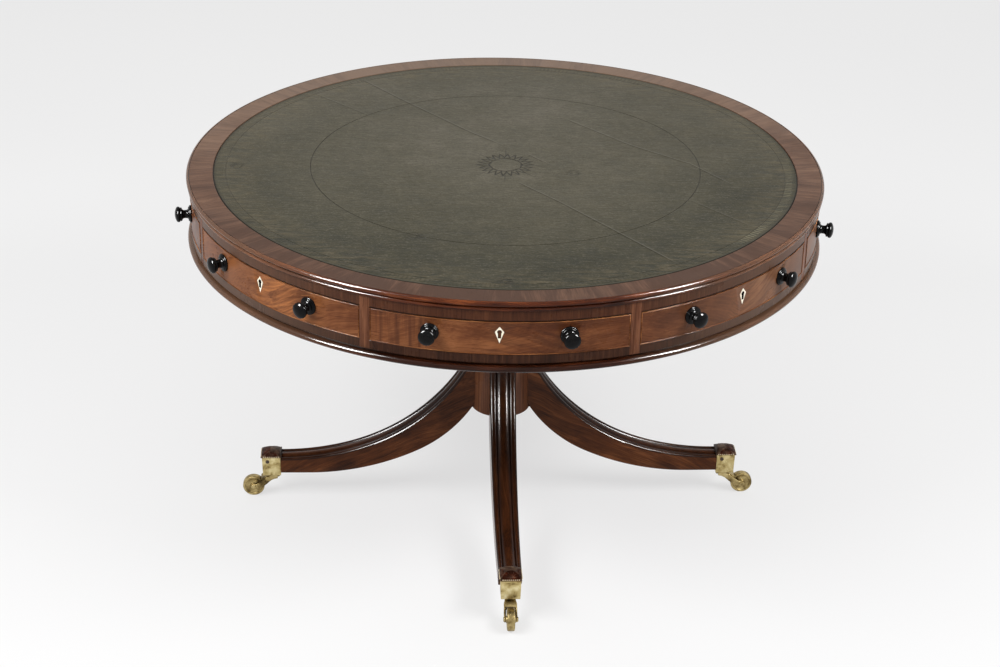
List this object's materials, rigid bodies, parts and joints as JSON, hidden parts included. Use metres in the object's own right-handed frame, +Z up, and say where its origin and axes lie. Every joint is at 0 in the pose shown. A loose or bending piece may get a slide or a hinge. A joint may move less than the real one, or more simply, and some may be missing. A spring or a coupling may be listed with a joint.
{
  "type": "drum table",
  "caption": "Round revolving drum table with a leather-lined top, sliding drawers between sham fronts, a turned column, reeded sabre legs and brass castors.",
  "frame": {"origin": "on the floor under the column's axis", "axes": "+Z up along the column; the real drawers pull out along -Y, +X, +Y and -X, and the sham fronts face the diagonals between them"},
  "size_m": [1.2486, 1.2486, 0.73],
  "materials": {
    "edge_mahogany": "polished mahogany moulding",
    "crossband_mahogany": "crossbanded mahogany veneer, waxed",
    "green_leather": "aged green leather with blind tooling",
    "frieze_mahogany": "polished mahogany",
    "front_mahogany": "figured mahogany veneer, polished",
    "base_mahogany": "dark polished mahogany",
    "inner_wood": "bare pine",
    "drawer_wood": "bare oak",
    "ebonised_wood": "ebonised and polished",
    "bone": "polished bone inlay",
    "brass": "worn polished brass",
    "iron": "dark wrought iron",
    "screw_steel": "tarnished steel"
  },
  "bodies": {
    "base": {"column": "base_mahogany", "column_platform": "base_mahogany", "spindle": "iron", "spindle_nut": "iron", "leg_plate": "iron", "castor_cap_screws": "screw_steel", "leg_1": "base_mahogany", "leg_2": "base_mahogany", "leg_3": "base_mahogany", "leg_4": "base_mahogany", "castor_cap_1": "brass", "castor_cap_2": "brass", "castor_cap_3": "brass", "castor_cap_4": "brass"},
    "drum": {"top_board": "edge_mahogany", "top_crossbanding": "crossband_mahogany", "leather_inset": "green_leather", "drum_base_board": "frieze_mahogany", "base_moulding": "edge_mahogany", "frieze_stiles": "frieze_mahogany", "top_rails": "frieze_mahogany", "bottom_rails": "frieze_mahogany", "drawer_guides": "inner_wood", "drawer_runners": "inner_wood", "hub_block": "inner_wood", "sham_fronts": "front_mahogany", "sham_knobs": "ebonised_wood", "sham_escutcheons": "bone"},
    "drawer_1": {"drawer_1_front": "front_mahogany", "drawer_1_box": "drawer_wood", "drawer_1_knobs": "ebonised_wood", "drawer_1_escutcheon": "bone", "drawer_1_lock": "brass"},
    "castor_1": {"castor_fork_1": "brass", "castor_axle_1": "brass"},
    "wheel_1": {"castor_wheel_1": "brass"},
    "drawer_2": {"drawer_2_front": "front_mahogany", "drawer_2_box": "drawer_wood", "drawer_2_knobs": "ebonised_wood", "drawer_2_escutcheon": "bone", "drawer_2_lock": "brass"},
    "castor_2": {"castor_fork_2": "brass", "castor_axle_2": "brass"},
    "wheel_2": {"castor_wheel_2": "brass"},
    "drawer_3": {"drawer_3_front": "front_mahogany", "drawer_3_box": "drawer_wood", "drawer_3_knobs": "ebonised_wood", "drawer_3_escutcheon": "bone", "drawer_3_lock": "brass"},
    "castor_3": {"castor_fork_3": "brass", "castor_axle_3": "brass"},
    "wheel_3": {"castor_wheel_3": "brass"},
    "drawer_4": {"drawer_4_front": "front_mahogany", "drawer_4_box": "drawer_wood", "drawer_4_knobs": "ebonised_wood", "drawer_4_escutcheon": "bone", "drawer_4_lock": "brass"},
    "castor_4": {"castor_fork_4": "brass", "castor_axle_4": "brass"},
    "wheel_4": {"castor_wheel_4": "brass"}
  },
  "joints": [
    {"name": "drum_spin", "type": "hinge", "parent": "base", "child": "drum", "pos_m": [0, 0, 0.596], "axis": [0, 0, 1], "continuous": true},
    {"name": "drawer_1_slide", "type": "slide", "parent": "drum", "child": "drawer_1", "axis": [0, -1, 0], "range_m": [0, 0.28]},
    {"name": "drawer_2_slide", "type": "slide", "parent": "drum", "child": "drawer_2", "axis": [1, 0, 0], "range_m": [0, 0.28]},
    {"name": "drawer_3_slide", "type": "slide", "parent": "drum", "child": "drawer_3", "axis": [0, 1, 0], "range_m": [0, 0.28]},
    {"name": "drawer_4_slide", "type": "slide", "parent": "drum", "child": "drawer_4", "axis": [-1, 0, 0], "range_m": [0, 0.28]},
    {"name": "castor_1_swivel", "type": "hinge", "parent": "base", "child": "castor_1", "pos_m": [0.3458, -0.30486, 0.053], "axis": [0, 0, 1], "continuous": true},
    {"name": "castor_2_swivel", "type": "hinge", "parent": "base", "child": "castor_2", "pos_m": [0.30486, 0.3458, 0.053], "axis": [0, 0, 1], "continuous": true},
    {"name": "castor_3_swivel", "type": "hinge", "parent": "base", "child": "castor_3", "pos_m": [-0.3458, 0.30486, 0.053], "axis": [0, 0, 1], "continuous": true},
    {"name": "castor_4_swivel", "type": "hinge", "parent": "base", "child": "castor_4", "pos_m": [-0.30486, -0.3458, 0.053], "axis": [0, 0, 1], "continuous": true},
    {"name": "castor_1_roll", "type": "hinge", "parent": "castor_1", "child": "wheel_1", "pos_m": [0.37731, -0.33264, 0.022], "axis": [0.6613, 0.7501, 0], "continuous": true},
    {"name": "castor_2_roll", "type": "hinge", "parent": "castor_2", "child": "wheel_2", "pos_m": [0.33264, 0.37731, 0.022], "axis": [-0.7501, 0.6613, 0], "continuous": true},
    {"name": "castor_3_roll", "type": "hinge", "parent": "castor_3", "child": "wheel_3", "pos_m": [-0.37731, 0.33264, 0.022], "axis": [-0.6613, -0.7501, 0], "continuous": true},
    {"name": "castor_4_roll", "type": "hinge", "parent": "castor_4", "child": "wheel_4", "pos_m": [-0.33264, -0.37731, 0.022], "axis": [0.7501, -0.6613, 0], "continuous": true}
  ]
}
